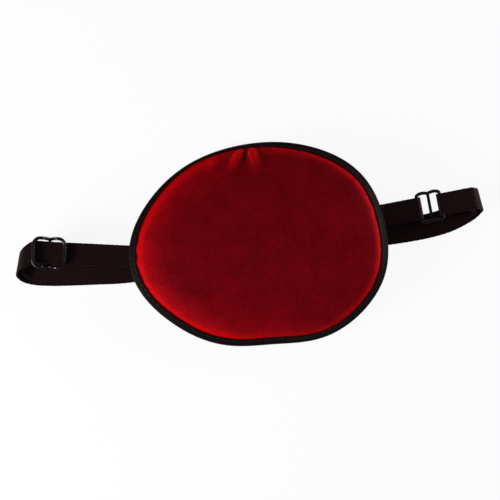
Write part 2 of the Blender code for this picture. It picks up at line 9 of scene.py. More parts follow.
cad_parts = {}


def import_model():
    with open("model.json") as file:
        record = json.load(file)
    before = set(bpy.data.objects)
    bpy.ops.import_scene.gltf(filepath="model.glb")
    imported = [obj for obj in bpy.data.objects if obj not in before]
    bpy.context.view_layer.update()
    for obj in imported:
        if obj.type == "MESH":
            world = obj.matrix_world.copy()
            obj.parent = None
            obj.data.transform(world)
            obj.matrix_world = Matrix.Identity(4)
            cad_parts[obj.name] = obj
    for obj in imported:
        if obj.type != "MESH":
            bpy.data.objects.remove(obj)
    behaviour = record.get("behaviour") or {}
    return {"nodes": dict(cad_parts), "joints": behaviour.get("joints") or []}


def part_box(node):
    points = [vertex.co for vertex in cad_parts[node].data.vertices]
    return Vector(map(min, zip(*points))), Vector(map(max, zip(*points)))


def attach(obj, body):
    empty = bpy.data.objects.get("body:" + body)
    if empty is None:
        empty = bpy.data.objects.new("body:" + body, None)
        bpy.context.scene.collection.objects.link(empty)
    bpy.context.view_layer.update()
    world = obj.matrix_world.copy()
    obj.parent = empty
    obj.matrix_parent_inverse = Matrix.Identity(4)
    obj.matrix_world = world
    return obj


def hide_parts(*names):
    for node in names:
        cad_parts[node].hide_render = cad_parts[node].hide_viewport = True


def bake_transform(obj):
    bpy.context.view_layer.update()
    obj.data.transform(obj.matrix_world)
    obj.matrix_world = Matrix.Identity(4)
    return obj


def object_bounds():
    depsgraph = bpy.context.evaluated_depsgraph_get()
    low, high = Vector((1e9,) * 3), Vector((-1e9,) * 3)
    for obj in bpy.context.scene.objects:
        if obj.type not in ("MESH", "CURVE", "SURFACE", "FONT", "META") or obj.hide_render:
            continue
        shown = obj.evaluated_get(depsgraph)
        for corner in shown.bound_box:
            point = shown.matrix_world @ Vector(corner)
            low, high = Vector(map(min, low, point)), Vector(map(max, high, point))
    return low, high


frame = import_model()
CAD_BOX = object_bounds()

MM = 0.001
JOINTS = {joint["name"]: joint for joint in frame["joints"]}

# Patch, over the middle of its rim
TOP_AT_RIM = 0.85 * MM
CROWN = 4.5 * MM
CROWN_START = 1.0 * MM
FRONT_FILL = 0.97  # share of the crown that the padding fills out
BACK_AT_RIM = -0.85 * MM
BACK_CROWN = 0.8 * MM
BACK_FILL = 0.9
BACK_REACH = 6.0 * MM
CLOTH = 0.4 * MM
COVER_SEGMENTS = 300
COVER_RINGS = 44

# Binding tape
TAPE_FRONT = 3.2 * MM
TAPE_ROLL = 1.9 * MM
TAPE_ROLL_AT = math.radians(112)
TAPE_ROLL_SPREAD = math.radians(75)
TAPE_NOSE = 1.0 * MM
SEAM_INSET = 0.75 * MM
TAPE_SEGMENTS = 540

# Elastic
STRAP_WIDTH = 10.0 * MM
STRAP_THICKNESS = 0.8 * MM
STRAP_END_THICKNESS = 0.4 * MM
INNER_SHIFT = 2.0 * MM
LAYER_RISE = 1.1 * MM
OUTER_LOW = STRAP_THICKNESS / 2
STRAP_COLUMNS = 16

# Buckles
BAR_RADIUS = 0.75 * MM
BAR_GAP = 0.15 * MM
BAR_SLIM = 0.92  # middle bar against rim
STRAP_PLAY = 0.25 * MM  # at each edge of the strap, inside a buckle
BAR_REACH = STRAP_WIDTH / 2 + STRAP_PLAY + BAR_RADIUS
SLIDER_PITCH = 7.0 * MM
SLIDER_CORNER = 2.4 * MM
RING_PITCH = 5.2 * MM
RING_CORNER = 0.6 * MM
LOBE_BULGE = 0.45 * MM
CORNER_SHARE = 0.62  # how far out along a lobe its corner begins


# ---------------------------------------------------------------- places read from the frame


def joint_place(name):
    joint = JOINTS[name]
    return Vector(joint["pos_m"]), Vector(joint["axis"]).normalized()


SLIDER_AT, SLIDE_RUN = joint_place("slider_slide")
LEFT_FOLD, LEFT_FOLD_AXIS = joint_place("left_strap_fold")
RIGHT_FOLD, _ = joint_place("right_strap_fold")
RING_AT, RING_AXIS = joint_place("ring_pivot")
RING_RUN = Vector((-RING_AXIS.y, RING_AXIS.x, 0))
UPPER = SLIDER_AT.z
LEFT_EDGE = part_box("edge_binding")[0][0]
RIGHT_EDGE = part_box("edge_binding")[1][0]


class Rim:
    """The patch's edge as the frame has it: its radius by angle, and its height along y."""

    def __init__(self, node="edge_binding", count=48):
        rows = {k: [] for k in range(count)}
        for vert in frame["nodes"][node].data.vertices:
            x, y, z = vert.co
            turn = math.atan2(y, x) / math.tau * count
            if abs(turn - round(turn)) < 0.02:
                rows[round(turn) % count].append((math.hypot(x, y), y, z))
        self.radii = []
        across, heights = [], []
        for k in range(count):
            reach = max(radius for radius, _, _ in rows[k])
            nose = [row for row in rows[k] if row[0] > reach - 0.02 * MM]
            self.radii.append(reach)
            across.append(nose[0][1])
            heights.append(sum(z for _, _, z in nose) / len(nose))
        self.arch = np.polyfit(across, heights, 2)

    def radius(self, angle):
        turn = angle / math.tau * len(self.radii)
        first = math.floor(turn)
        a, b, c, d = [self.radii[(first + k) % len(self.radii)] for k in (-1, 0, 1, 2)]
        return catmull(a, b, c, d, turn - first)

    def middle(self, y):
        return float(np.polyval(self.arch, y))

    def point(self, angle, inset, height):
        reach = self.radius(angle) - inset
        x, y = reach * math.cos(angle), reach * math.sin(angle)
        return Vector((x, y, self.middle(y) + height))


def catmull(a, b, c, d, t):
    """The smooth curve through b and c, a share t of the way from b to c."""
    return (
        2 * b
        + (c - a) * t
        + (2 * a - 5 * b + 4 * c - d) * t * t
        + (3 * b - a - 3 * c + d) * t**3
    ) / 2


RIM = Rim()


# ---------------------------------------------------------------- shader maths


class Value:
    """A shader socket that takes Python's operators."""

    def __init__(self, finish, socket):
        self.finish = finish
        self.socket = socket

    def _maths(self, operation, *terms):
        return self.finish.node("ShaderNodeMath", {"operation": operation}, *terms)[0]

    def __add__(self, other):
        return self._maths("ADD", self, other)

    def __mul__(self, other):
        return self._maths("MULTIPLY", self, other)

    def __sub__(self, other):
        return self._maths("SUBTRACT", self, other)

    def __rsub__(self, other):
        return self._maths("SUBTRACT", other, self)

    def __pow__(self, other):
        return self._maths("POWER", self, other)

    __radd__ = __add__
    __rmul__ = __mul__

    def sine(self):
        return self._maths("SINE", self)

    def size(self):
        return self._maths("ABSOLUTE", self)

    def clamped(self, low, high):
        above = self._maths("MAXIMUM", self, low)
        return above._maths("MINIMUM", above, high)


class Finish:
    """A material built up from nodes."""

    def __init__(self, name, colour, **settings):
        self.material = bpy.data.materials.new(name)
        self.material.use_nodes = True
        self.tree = self.material.node_tree
        self.shader = self.tree.nodes["Principled BSDF"]
        self.shader.inputs["Base Color"].default_value = (*colour, 1)
        for key, value in settings.items():
            self.shader.inputs[key.replace("_", " ").title()].default_value = value

    def node(self, kind, settings, *inputs, **named):
        """A node of this kind; inputs go to its sockets in order, named ones by name."""
        node = self.tree.nodes.new(kind)
        for key, value in settings.items():
            setattr(node, key, value)
        by_name = [(key.replace("_", " ").title(), value) for key, value in named.items()]
        for key, value in [*enumerate(inputs), *by_name]:
            self.feed(node.inputs[key], value)
        return [Value(self, socket) for socket in node.outputs]

    def feed(self, socket, value):
        if isinstance(value, Value):
            self.tree.links.new(value.socket, socket)
        elif value is not None:
            socket.default_value = value

    def set(self, name, value):
        self.feed(self.shader.inputs[name], value)

    def place(self):
        return self.node("ShaderNodeTexCoord", {})[3]

    def surface(self):
        """The piece's own (along, across) map, in millimetres."""
        flat = self.node("ShaderNodeUVMap", {"uv_map": "surface"})[0]
        return self.node("ShaderNodeSeparateXYZ", {}, flat)[:2]

    def grain(self, vector, scale, detail=3.0, roughness=0.55):
        look = {"scale": scale, "detail": detail, "roughness": roughness}
        return self.node("ShaderNodeTexNoise", {}, vector=vector, **look)[0]

    def mix(self, share, first, second):
        node = self.tree.nodes.new("ShaderNodeMix")
        node.data_type = "RGBA"
        self.feed(node.inputs[0], share)
        self.feed(node.inputs[6], first)
        self.feed(node.inputs[7], second)
        return Value(self, node.outputs[2])

    def bump(self, height, distance, strength=1.0):
        made = self.node("ShaderNodeBump", {}, strength=strength, distance=distance, height=height)
        self.set("Normal", made[0])


def red_satin():
    """Deep red cloth with a painted highlight: its colour is brightened near the padding's edge, broadly
    on the left, narrowly round the sides, and along the pleats.
    """
    finish = Finish("red_satin", (0.09, 0.001, 0.003), roughness=0.55)
    finish.set("Sheen Weight", 0.35)
    finish.set("Sheen Roughness", 0.4)
    finish.set("Sheen Tint", (1.0, 0.002, 0.008, 1))
    finish.set("Specular IOR Level", 0.12)
    finish.set("Specular Tint", (1.0, 0.02, 0.03, 1))
    place = finish.place()
    nap = finish.grain(place, 95, 4)
    tuft = finish.grain(place, 520, 3, 0.6)
    pile = finish.grain(place, 2600, 2)
    mottle = (nap * 0.9 + tuft * 1.1 + pile * 0.6 - 0.8).clamped(0, 1)
    flat = finish.mix(mottle, (0.066, 0.0004, 0.0022, 1), (0.188, 0.0010, 0.0048, 1))
    # painted highlight: this brighter red stands in for the sheen where the cloth turns over the padding's
    # edge
    painted_highlight_red = finish.mix(mottle, (0.31, 0.0004, 0.0017, 1), (0.46, 0.0007, 0.0027, 1))
    # lean weights the painted highlight, higher to the left and on the pleats; the bands below mask it in
    # from the rim
    lean, inset = finish.surface()
    depth = inset - TAPE_FRONT / MM
    broad_highlight_band = (1 - depth * (1 / 17.0)).clamped(0, 1) ** 2.0 * lean**1.8
    sides = ((lean - 0.5).size() * 1.5 + 0.25).clamped(0, 1)
    narrow_highlight_band = (1 - depth * (1 / 3.4)).clamped(0, 1) ** 1.2 * sides * 1.3
    # painted highlight near the rim, broken up by the grain
    painted_rim_highlight = (broad_highlight_band * 0.8 + narrow_highlight_band) * (nap * 0.7 + tuft * 0.6 + 0.35)
    finish.set("Base Color", finish.mix(painted_rim_highlight.clamped(0, 1), flat, painted_highlight_red))
    finish.set("Roughness", pile * 0.16 + 0.48)
    finish.bump(pile * 0.6 + tuft * 0.5 + nap * 0.3, 0.00012, 0.6)
    return finish.material


def back_lining():
    """Black brushed lining, matt and a little fluffy."""
    finish = Finish("back_lining", (0.016, 0.013, 0.014), roughness=0.85)
    finish.set("Sheen Weight", 0.35)
    finish.set("Sheen Roughness", 0.6)
    finish.set("Specular IOR Level", 0.2)
    place = finish.place()
    fluff = finish.grain(place, 1500, 4)
    patches = finish.grain(place, 130, 2)
    shade = (fluff * 0.8 + patches * 0.4 - 0.1).clamped(0, 1)
    finish.set("Base Color", finish.mix(shade, (0.010, 0.008, 0.009, 1), (0.026, 0.022, 0.023, 1)))
    finish.set("Roughness", fluff * 0.2 + 0.75)
    finish.bump(fluff, 0.00016, 0.8)
    return finish.material


def wadding():
    finish = Finish("wadding", (0.72, 0.71, 0.67), roughness=0.95)
    fluff = finish.grain(finish.place(), 700, 5, 0.7)
    finish.set("Base Color", finish.mix(fluff, (0.62, 0.61, 0.57, 1), (0.82, 0.81, 0.78, 1)))
    finish.bump(fluff, 0.0004, 0.8)
    return finish.material


def binding_tape():
    """Black woven tape with a fine plain weave along and across it."""
    finish = Finish("binding_tape", (0.012, 0.009, 0.010), roughness=0.6)
    finish.set("Sheen Weight", 0.01)
    finish.set("Sheen Roughness", 0.4)
    finish.set("Sheen Tint", (1.0, 0.85, 0.85, 1))
    finish.set("Specular IOR Level", 0.03)
    along, across = finish.surface()
    warp = (across * (math.tau / 0.42)).sine()
    weft = (along * (math.tau / 0.42)).sine()
    weave = warp * weft * 0.5 + 0.5
    wear = finish.grain(finish.place(), 420, 3)
    shade = weave * 0.5 + wear * 0.5
    finish.set("Base Color", finish.mix(shade, (0.0020, 0.0007, 0.0008, 1), (0.0050, 0.0018, 0.0021, 1)))
    finish.set("Roughness", wear * 0.3 + 0.42)
    finish.bump(weave * 0.7 + wear * 0.5, 0.00006, 0.7)
    return finish.material


def elastic():
    """Black knitted elastic: covered rubber ribs along it, small loops across them."""
    finish = Finish("elastic", (0.008, 0.0055, 0.006), roughness=0.6)
    finish.set("Sheen Weight", 0.01)
    finish.set("Sheen Roughness", 0.4)
    finish.set("Sheen Tint", (1.0, 0.75, 0.75, 1))
    finish.set("Specular IOR Level", 0.05)
    along, across = finish.surface()
    rib = (across * (math.tau / 1.25)).sine() * 0.5 + 0.5
    lean = (across * (math.tau / 2.5)).sine() * 0.35
    loops = ((along + lean) * (math.tau / 0.75)).sine() * 0.5 + 0.5
    fuzz = finish.grain(finish.place(), 1300, 3)
    shade = (rib * 0.45 + loops * 0.3 + fuzz * 0.4 - 0.1).clamped(0, 1)
    finish.set("Base Color", finish.mix(shade, (0.0040, 0.0012, 0.0015, 1), (0.0135, 0.0040, 0.0048, 1)))
    finish.set("Roughness", fuzz * 0.25 + 0.5)
    finish.bump(rib * 0.9 + loops * 0.45 + fuzz * 0.15, 0.00010, 0.8)
    return finish.material


def sewing_thread():
    finish = Finish("thread", (0.018, 0.016, 0.017), roughness=0.45)
    finish.set("Sheen Weight", 0.03)
    finish.set("Specular IOR Level", 0.15)
    twist = finish.grain(finish.place(), 2600, 2)
    finish.set("Base Color", finish.mix(twist, (0.006, 0.0045, 0.0048, 1), (0.016, 0.012, 0.0125, 1)))
    finish.set("Roughness", twist * 0.3 + 0.35)
    finish.bump(twist, 0.00004, 0.7)
    return finish.material


def buckle_plastic():
    """Glossy moulded black plastic, faintly scuffed."""
    finish = Finish("buckle_plastic", (0.004, 0.003, 0.003), roughness=0.2)
    finish.set("Specular IOR Level", 0.16)
    scuff = finish.grain(finish.place(), 900, 4, 0.65)
    flow = finish.grain(finish.place(), 160, 2)
    finish.set("Base Color", finish.mix(scuff, (0.0030, 0.0016, 0.0018, 1), (0.0070, 0.0040, 0.0043, 1)))
    finish.set("Roughness", (scuff * 0.28 + flow * 0.10).clamped(0, 1))
    finish.bump(flow + scuff * 0.3, 0.00003, 0.4)
    return finish.material


def floor_finish():
    finish = Finish("floor", (0.88, 0.88, 0.88), roughness=0.9)
    rays = finish.node("ShaderNodeLightPath", {})
    seen = rays[0] + rays[3] + rays[6]
    glow = finish.node("ShaderNodeEmission", {}, (1, 1, 1, 1), 1.0)[0]
    share = (seen * 0.9).clamped(0, 0.9)
    mixed = finish.node("ShaderNodeMixShader", {}, share, Value(finish, finish.shader.outputs[0]), glow)[0]
    output = finish.tree.nodes["Material Output"]
    finish.feed(output.inputs["Surface"], mixed)
    return finish.material


# ---------------------------------------------------------------- making pieces


def finished(name, mesh, material, nodes):
    """A new piece from a bmesh, standing for these CAD nodes."""
    data = bpy.data.meshes.new(name)
    mesh.to_mesh(data)
    mesh.free()
    data.shade_smooth()
    piece = bpy.data.objects.new(name, data)
    piece.data.materials.append(material)
    bpy.context.scene.collection.objects.link(piece)
    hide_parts(*nodes)
    return piece


def solidify(piece, thickness, offset):
    modifier = piece.modifiers.new("thickness", "SOLIDIFY")
    modifier.thickness = thickness
    modifier.offset = offset
    modifier.use_even_offset = True


def face_up(mesh):
    bmesh.ops.recalc_face_normals(mesh, faces=mesh.faces)
    if sum(face.normal.z * face.calc_area() for face in mesh.faces) < 0:
        bmesh.ops.reverse_faces(mesh, faces=mesh.faces)


def ringed_disc(rings, segments):
    """A flat disc whose ring number is its radius, from the middle out."""
    mesh = bmesh.new()
    bmesh.ops.create_circle(mesh, cap_ends=True, cap_tris=True, segments=segments, radius=1)
    edge = [e for e in mesh.edges if e.is_boundary]
    for ring in range(1, rings):
        grown = bmesh.ops.extrude_edge_only(mesh, edges=edge)["geom"]
        verts = [v for v in grown if isinstance(v, bmesh.types.BMVert)]
        bmesh.ops.scale(mesh, vec=((ring + 1) / ring, (ring + 1) / ring, 1), verts=verts)
        edge = [e for e in grown if isinstance(e, bmesh.types.BMEdge) and e.is_boundary]
    return mesh


def ring_inset(ring, rings, reach):
    """Distance in from the edge of this ring; rings are closer together near the edge."""
    share = 1 - ring / rings
    return CROWN_START + (reach - CROWN_START) * share**1.7


def shaped_disc(height, rings=COVER_RINGS, segments=COVER_SEGMENTS):
    """A disc that fills the rim; height(angle, inset, x, y) is over the middle of the rim."""
    mesh = ringed_disc(rings, segments)
    for vert in mesh.verts:
        angle = math.atan2(vert.co.y, vert.co.x)
        ring = round(math.hypot(vert.co.x, vert.co.y))
        reach = RIM.radius(angle)
        inset = ring_inset(ring, rings, reach) if ring else reach
        x, y = (reach - inset) * math.cos(angle), (reach - inset) * math.sin(angle)
        vert.co = RIM.point(angle, inset, height(angle, inset, x, y))
    face_up(mesh)
    return mesh


# ---------------------------------------------------------------- patch


def crown_reach(angle):
    """How gently the padding rises from the rim: gently on the left, steeply on the right."""
    left = 0.5 - 0.5 * math.cos(angle + math.radians(12))
    return (3.4 + 6.4 * left**1.5) * MM


def crown(angle, inset):
    rise = max(0.0, inset - CROWN_START)
    return 1 - math.exp(-rise / crown_reach(angle))


def front_rise(angle, inset):
    """How far the front stands above its rim."""
    return CROWN * FRONT_FILL * crown(angle, inset)


def back_drop(inset):
    """How far the back hangs below its rim."""
    return BACK_CROWN * BACK_FILL * (1 - math.exp(-max(0, inset - CROWN_START) / BACK_REACH))


# (start, end), in millimetres, then width and height
PUCKERS = (
    ((0.0, 43.8), (-7.4, 33.0), 1.3, 0.95),
    ((3.6, 43.6), (5.4, 31.0), 1.4, 1.00),
    ((-12.5, 43.5), (-14.5, 35.0), 1.4, 0.40),
    ((13.0, 43.5), (15.5, 36.0), 1.5, 0.25),
    ((-55.0, 6.5), (-46.0, 5.0), 1.6, 0.22),
    ((-55.5, 0.5), (-45.0, -1.5), 1.6, 0.20),
    ((54.0, 8.0), (47.0, 6.5), 1.4, 0.22),
)


def pucker_height(x, y):
    """Small pleats that run in from the binding where the cloth was gathered."""
    total = 0.0
    for start, end, width, height in PUCKERS:
        a, b = Vector(start) * MM, Vector(end) * MM
        run = b - a
        share = (Vector((x, y)) - a).dot(run) / run.length_squared
        if -0.1 < share < 1.3:
            off = (Vector((x, y)) - (a + run * share)).length / (width * MM * (1 + share))
            fade = math.exp(-((max(share, 0) / 0.75) ** 2))
            ridge = math.exp(-off * off) - 0.45 * math.exp(-(((off - 1.6) / 0.8) ** 2))
            total += height * MM * fade * ridge
    return total


def cloth_wave(x, y):
    """Slack of the cloth over the padding."""
    spot = Vector((x, y, 0))
    return 0.22 * MM * noise.noise(spot * 55) + 0.07 * MM * noise.noise(spot * 190 + Vector((5, 2, 0)))


def front_height(angle, inset, x, y):
    near_rim = min(1.0, max(0.0, inset - CROWN_START) / (2.0 * MM))
    slack = pucker_height(x, y) + cloth_wave(x, y)
    return TOP_AT_RIM + front_rise(angle, inset) + near_rim * slack


def back_height(angle, inset, x, y):
    wave = min(1.0, max(0.0, inset - CROWN_START) / (3.0 * MM)) * 0.12 * MM
    spot = Vector((x, y, 0.02))
    return BACK_AT_RIM - back_drop(inset) + wave * noise.noise(spot * 60)


def map_cover(mesh):
    """The cover's surface map: the weight of the painted highlight, higher towards the left and along the
    pleats, and millimetres in from the rim.
    """
    layer = mesh.loops.layers.uv.new("surface")
    for vert in mesh.verts:
        angle = math.atan2(vert.co.y, vert.co.x)
        inset = RIM.radius(angle) - math.hypot(vert.co.x, vert.co.y)
        # the pleats get more painted highlight
        pleat_highlight = 2.2 * max(0.0, pucker_height(vert.co.x, vert.co.y)) / MM
        for loop in vert.link_loops:
            loop[layer].uv = (0.5 - 0.5 * math.cos(angle - math.radians(6)) + pleat_highlight, inset / MM)


def make_front_cover(material):
    mesh = shaped_disc(front_height)
    map_cover(mesh)
    piece = finished("front_cover_cloth", mesh, material, ["front_cover"])
    solidify(piece, CLOTH, -1)
    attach(piece, "patch")


def make_back_cover(material):
    mesh = shaped_disc(back_height, 30, 200)
    piece = finished("back_cover_cloth", mesh, material, ["back_cover"])
    solidify(piece, CLOTH, 1)
    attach(piece, "patch")


def make_padding(material):
    """The wadding fills what the covers leave."""
    gap = 0.15 * MM

    def bottom(angle, inset, x, y):
        return back_height(angle, inset, x, y) + CLOTH + gap

    mesh = shaped_disc(bottom, 30, 160)
    top = bmesh.ops.extrude_face_region(mesh, geom=list(mesh.faces))["geom"]
    for vert in [v for v in top if isinstance(v, bmesh.types.BMVert)]:
        x, y = vert.co.x, vert.co.y
        angle = math.atan2(y, x)
        inset = RIM.radius(angle) - math.hypot(x, y)
        under = (CLOTH + gap) * (1 + 0.45 * (1 - crown(angle, inset)))
        vert.co.z = RIM.middle(y) + front_height(angle, inset, x, y) - under
    bmesh.ops.recalc_face_normals(mesh, faces=mesh.faces)
    piece = finished("padding_wad", mesh, material, ["padding"])
    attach(piece, "patch")


def tape_front(angle):
    """Width of tape on the front, less where it is rolled to the back at the upper left."""
    away = (angle - TAPE_ROLL_AT + math.pi) % math.tau - math.pi
    if abs(away) > TAPE_ROLL_SPREAD:
        return TAPE_FRONT
    return TAPE_FRONT - TAPE_ROLL * math.cos(away / TAPE_ROLL_SPREAD * math.pi / 2) ** 2


def tape_back(angle):
    return 2 * TAPE_FRONT - tape_front(angle)


def over_front(angle, inset):
    """Height of the tape's front leg: it lies on the cloth and rounds down to the nose."""
    return TOP_AT_RIM + CLOTH + 0.22 * MM + front_rise(angle, inset)


def under_back(inset):
    return BACK_AT_RIM - CLOTH - 0.25 * MM - back_drop(inset)


def seam_dip(inset, seam):
    """The stitches draw the tape down a little along the seam."""
    off = (inset - seam) / (0.35 * MM)
    return 0.14 * MM * math.exp(-off * off)


def tape_section(angle):
    """(inset, height) round the folded tape, from the front leg's free edge to the back leg's."""
    front, back = tape_front(angle), tape_back(angle)
    section = []
    for share in (0, 0.06, 0.16, 0.3, 0.45, 0.6, 0.75, 0.9):
        inset = front + (TAPE_NOSE - front) * share
        tuck = 0.22 * MM * max(0.0, 1 - share / 0.12)
        section.append((inset, over_front(angle, inset) - seam_dip(inset, front - SEAM_INSET) - tuck))
    high, low = over_front(angle, TAPE_NOSE), under_back(TAPE_NOSE)
    middle, half = (high + low) / 2, (high - low) / 2
    for k in range(13):
        turn = math.pi / 2 - math.pi * k / 12
        section.append((TAPE_NOSE * (1 - math.cos(turn)), middle + half * math.sin(turn)))
    for share in (0.1, 0.25, 0.4, 0.55, 0.7, 0.84, 0.94, 1):
        inset = TAPE_NOSE + (back - TAPE_NOSE) * share
        tuck = 0.22 * MM * max(0.0, 1 - (1 - share) / 0.12)
        section.append((inset, under_back(inset) + seam_dip(inset, back - SEAM_INSET) + tuck))
    return section


def gather(angle, row, rows):
    """Slight ripples of the tape where it is eased round the curve."""
    run = Vector((math.cos(angle) * 26, math.sin(angle) * 26, row / rows * 1.2))
    edge = abs(row / (rows - 1) - 0.5) * 2
    return noise.noise(run) * 0.10 * MM * edge


def make_binding(material):
    mesh = bmesh.new()
    surface = mesh.loops.layers.uv.new("surface")
    bmesh.ops.create_circle(mesh, segments=TAPE_SEGMENTS, radius=1)
    count = len(tape_section(0))
    edge = list(mesh.edges)
    rows = [list(mesh.verts)]
    for _ in range(count - 1):
        grown = bmesh.ops.extrude_edge_only(mesh, edges=edge)["geom"]
        rows.append([v for v in grown if isinstance(v, bmesh.types.BMVert)])
        last = set(rows[-1])
        edge = [e for e in grown if isinstance(e, bmesh.types.BMEdge) and set(e.verts) <= last]
    place = {}
    for row, ring in enumerate(rows):
        for vert in ring:
            angle = math.atan2(vert.co.y, vert.co.x)
            inset, height = tape_section(angle)[row]
            place[vert] = (angle, row)
            vert.co = RIM.point(angle, inset, height + gather(angle, row, count))
    around = RIM.radius(0) * 0.9 / MM
    for face in mesh.faces:
        base = place[face.verts[0]][0]
        for loop in face.loops:
            angle, row = place[loop.vert]
            turn = (angle - base + math.pi) % math.tau - math.pi + base
            loop[surface].uv = (turn * around, row * 0.42)
    bmesh.ops.recalc_face_normals(mesh, faces=mesh.faces)
    top = max(mesh.faces, key=lambda face: face.calc_center_median().z)
    if top.normal.z < 0:
        bmesh.ops.reverse_faces(mesh, faces=mesh.faces)
    piece = finished("binding_fold", mesh, material, ["edge_binding"])
    solidify(piece, CLOTH, -1)
    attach(piece, "patch")


def add_stitch(mesh, start, end, up, radius):
    """One thread stitch: a slim bead from start to end that arches slightly."""
    run = end - start
    length = run.length
    along = run.normalized()
    side = up.cross(along).normalized()
    turn = Matrix((along, side, along.cross(side))).transposed().to_4x4()
    size = Matrix.Diagonal((length / 2, radius, radius, 1))
    place = Matrix.Translation((start + end) / 2) @ turn @ size
    bmesh.ops.create_uvsphere(mesh, u_segments=8, v_segments=6, radius=1, matrix=place)


def make_seam(name, node, seam, height, side, material):
    """Lock stitches all the way round the binding."""
    mesh = bmesh.new()
    steps = 720
    angles = [math.tau * k / steps for k in range(steps + 1)]
    points = [RIM.point(a, seam(a), height(a, seam(a))) for a in angles]
    travelled, last = 0.0, 0.0
    pitch, gap = 2.4 * MM, 0.35 * MM
    start = points[0]
    for before, point in zip(points, points[1:]):
        travelled += (point - before).length
        if travelled - last >= pitch:
            ease = (point - start).normalized() * gap / 2
            add_stitch(mesh, start + ease, point - ease, Vector((0, 0, side)), 0.15 * MM)
            start, last = point, travelled
    bmesh.ops.recalc_face_normals(mesh, faces=mesh.faces)
    piece = finished(name, mesh, material, [node])
    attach(piece, "patch")


def make_seams(material):
    def front_seam(angle):
        return tape_front(angle) - SEAM_INSET

    def back_seam(angle):
        return tape_back(angle) - SEAM_INSET

    def on_front(angle, inset):
        return over_front(angle, inset) - 0.08 * MM

    def on_back(_, inset):
        return under_back(inset) + 0.08 * MM

    make_seam("binding_stitches_front", "binding_thread_front", front_seam, on_front, 1, material)
    make_seam("binding_stitches_back", "binding_thread_back", back_seam, on_back, -1, material)


# ---------------------------------------------------------------- straps


def station(x, y, z, degrees):
    return (x, y, z, math.radians(degrees))


SLIDE_ACROSS = math.degrees(math.atan2(SLIDE_RUN.y, SLIDE_RUN.x)) + 90
RING_ACROSS = math.degrees(math.atan2(RING_RUN.y, RING_RUN.x)) + 90
LEFT_CUT = math.degrees(math.atan2(LEFT_FOLD_AXIS.y, LEFT_FOLD_AXIS.x))
FOLD_ALONG = (LEFT_FOLD.x - SLIDER_AT.x) / SLIDE_RUN.x
LOOP_RADIUS = BAR_RADIUS + BAR_GAP + STRAP_THICKNESS / 2
END_RADIUS = BAR_RADIUS + BAR_GAP + STRAP_END_THICKNESS / 2
SLIDER_DEPTH = STRAP_THICKNESS / 2 + 2 * BAR_GAP + STRAP_END_THICKNESS + BAR_RADIUS
RING_LOW = RING_AT.z - LOOP_RADIUS
LOW_LEFT_Y = -2.9 * MM
LOW_RIGHT_Y = -5.0 * MM
LOW_LEFT_X = LEFT_FOLD.x + (LOW_LEFT_Y - LEFT_FOLD.y) * LEFT_FOLD_AXIS.x / LEFT_FOLD_AXIS.y


def on_slide(along, z=UPPER, across=SLIDE_ACROSS):
    point = SLIDER_AT + SLIDE_RUN * along
    return station(point.x, point.y, z, across)


def on_ring(along, z, angle=RING_ACROSS):
    point = RING_AT + RING_RUN * along
    return station(point.x, point.y, z, angle)


def half_turn(centre, level, radius, towards, steps=6):
    angles = [math.pi / 2 - math.pi * k / steps for k in range(steps + 1)]
    return [(centre + towards * radius * math.cos(a), level + radius * math.sin(a)) for a in angles]


def layer(stations, shift, rise):
    return [
        (x + shift * math.cos(angle), y + shift * math.sin(angle), z + rise, angle)
        for x, y, z, angle in stations
    ]


def span_curve(a, b, c, d, t):
    """The curve from b to c; unlike catmull, it keeps its shape where stations are unevenly spaced."""
    spans = [Vector(end[:3]) - Vector(start[:3]) for start, end in ((a, b), (b, c), (c, d))]
    before, span, after = [math.sqrt(step.length) for step in spans]
    leave = (c - b) + ((b - a) / before - (c - a) / (before + span)) * span
    arrive = (c - b) + ((d - c) / after - (d - b) / (span + after)) * span
    flip = 1 - t
    ends = b * (flip * flip * (1 + 2 * t)) + c * (t * t * (3 - 2 * t))
    return ends + leave * (flip * flip * t) - arrive * (t * t * flip)


def smooth(stations, spacing):
    """Points on the smooth curve through the stations, about this far apart."""
    rows = [Vector(row) for row in stations]
    low, high = min(row[2] for row in rows), max(row[2] for row in rows)
    rows = [2 * rows[0] - rows[1], *rows, 2 * rows[-1] - rows[-2]]
    points = []
    for a, b, c, d in zip(rows, rows[1:], rows[2:], rows[3:]):
        steps = max(2, round((Vector(c[:3]) - Vector(b[:3])).length / spacing))
        points += [span_curve(a, b, c, d, step / steps) for step in range(steps)]
    points.append(rows[-2])
    for point in points:
        point[2] = min(max(point[2], low), high)
    return points


def ribbon(name, stations, material, nodes, thickness=STRAP_THICKNESS, spacing=0.8 * MM):
    """A length of elastic with rounded edges along the stations."""
    rows = smooth(stations, spacing)
    centres = [Vector(row[:3]) for row in rows]
    last = len(rows) - 1
    travelled = [0.0]
    for a, b in zip(centres, centres[1:]):
        travelled.append(travelled[-1] + (b - a).length / MM)
    mesh = bmesh.new()
    surface = mesh.loops.layers.uv.new("surface")
    bmesh.ops.create_grid(mesh, x_segments=last, y_segments=STRAP_COLUMNS, size=0.5)
    for vert in mesh.verts:
        k = round((vert.co.x + 0.5) * last)
        side = vert.co.y
        for loop in vert.link_loops:
            loop[surface].uv = (travelled[k], side * STRAP_WIDTH / MM)
        across = Vector((math.cos(rows[k][3]), math.sin(rows[k][3]), 0))
        scallop = 0.05 * MM * math.sin(travelled[k] * 2.6) * (abs(side) > 0.49) * (1 if side > 0 else -1)
        vert.co = centres[k] + across * (side * (STRAP_WIDTH - 0.1 * MM) + scallop)
    piece = finished(name, mesh, material, nodes)
    solidify(piece, thickness, 0)
    rounding = piece.modifiers.new("rounding", "BEVEL")
    rounding.width = 0.24 * MM if thickness == STRAP_THICKNESS else 0.12 * MM
    rounding.segments = 3
    rounding.limit_method = "ANGLE"
    rounding.angle_limit = math.radians(60)
    return piece


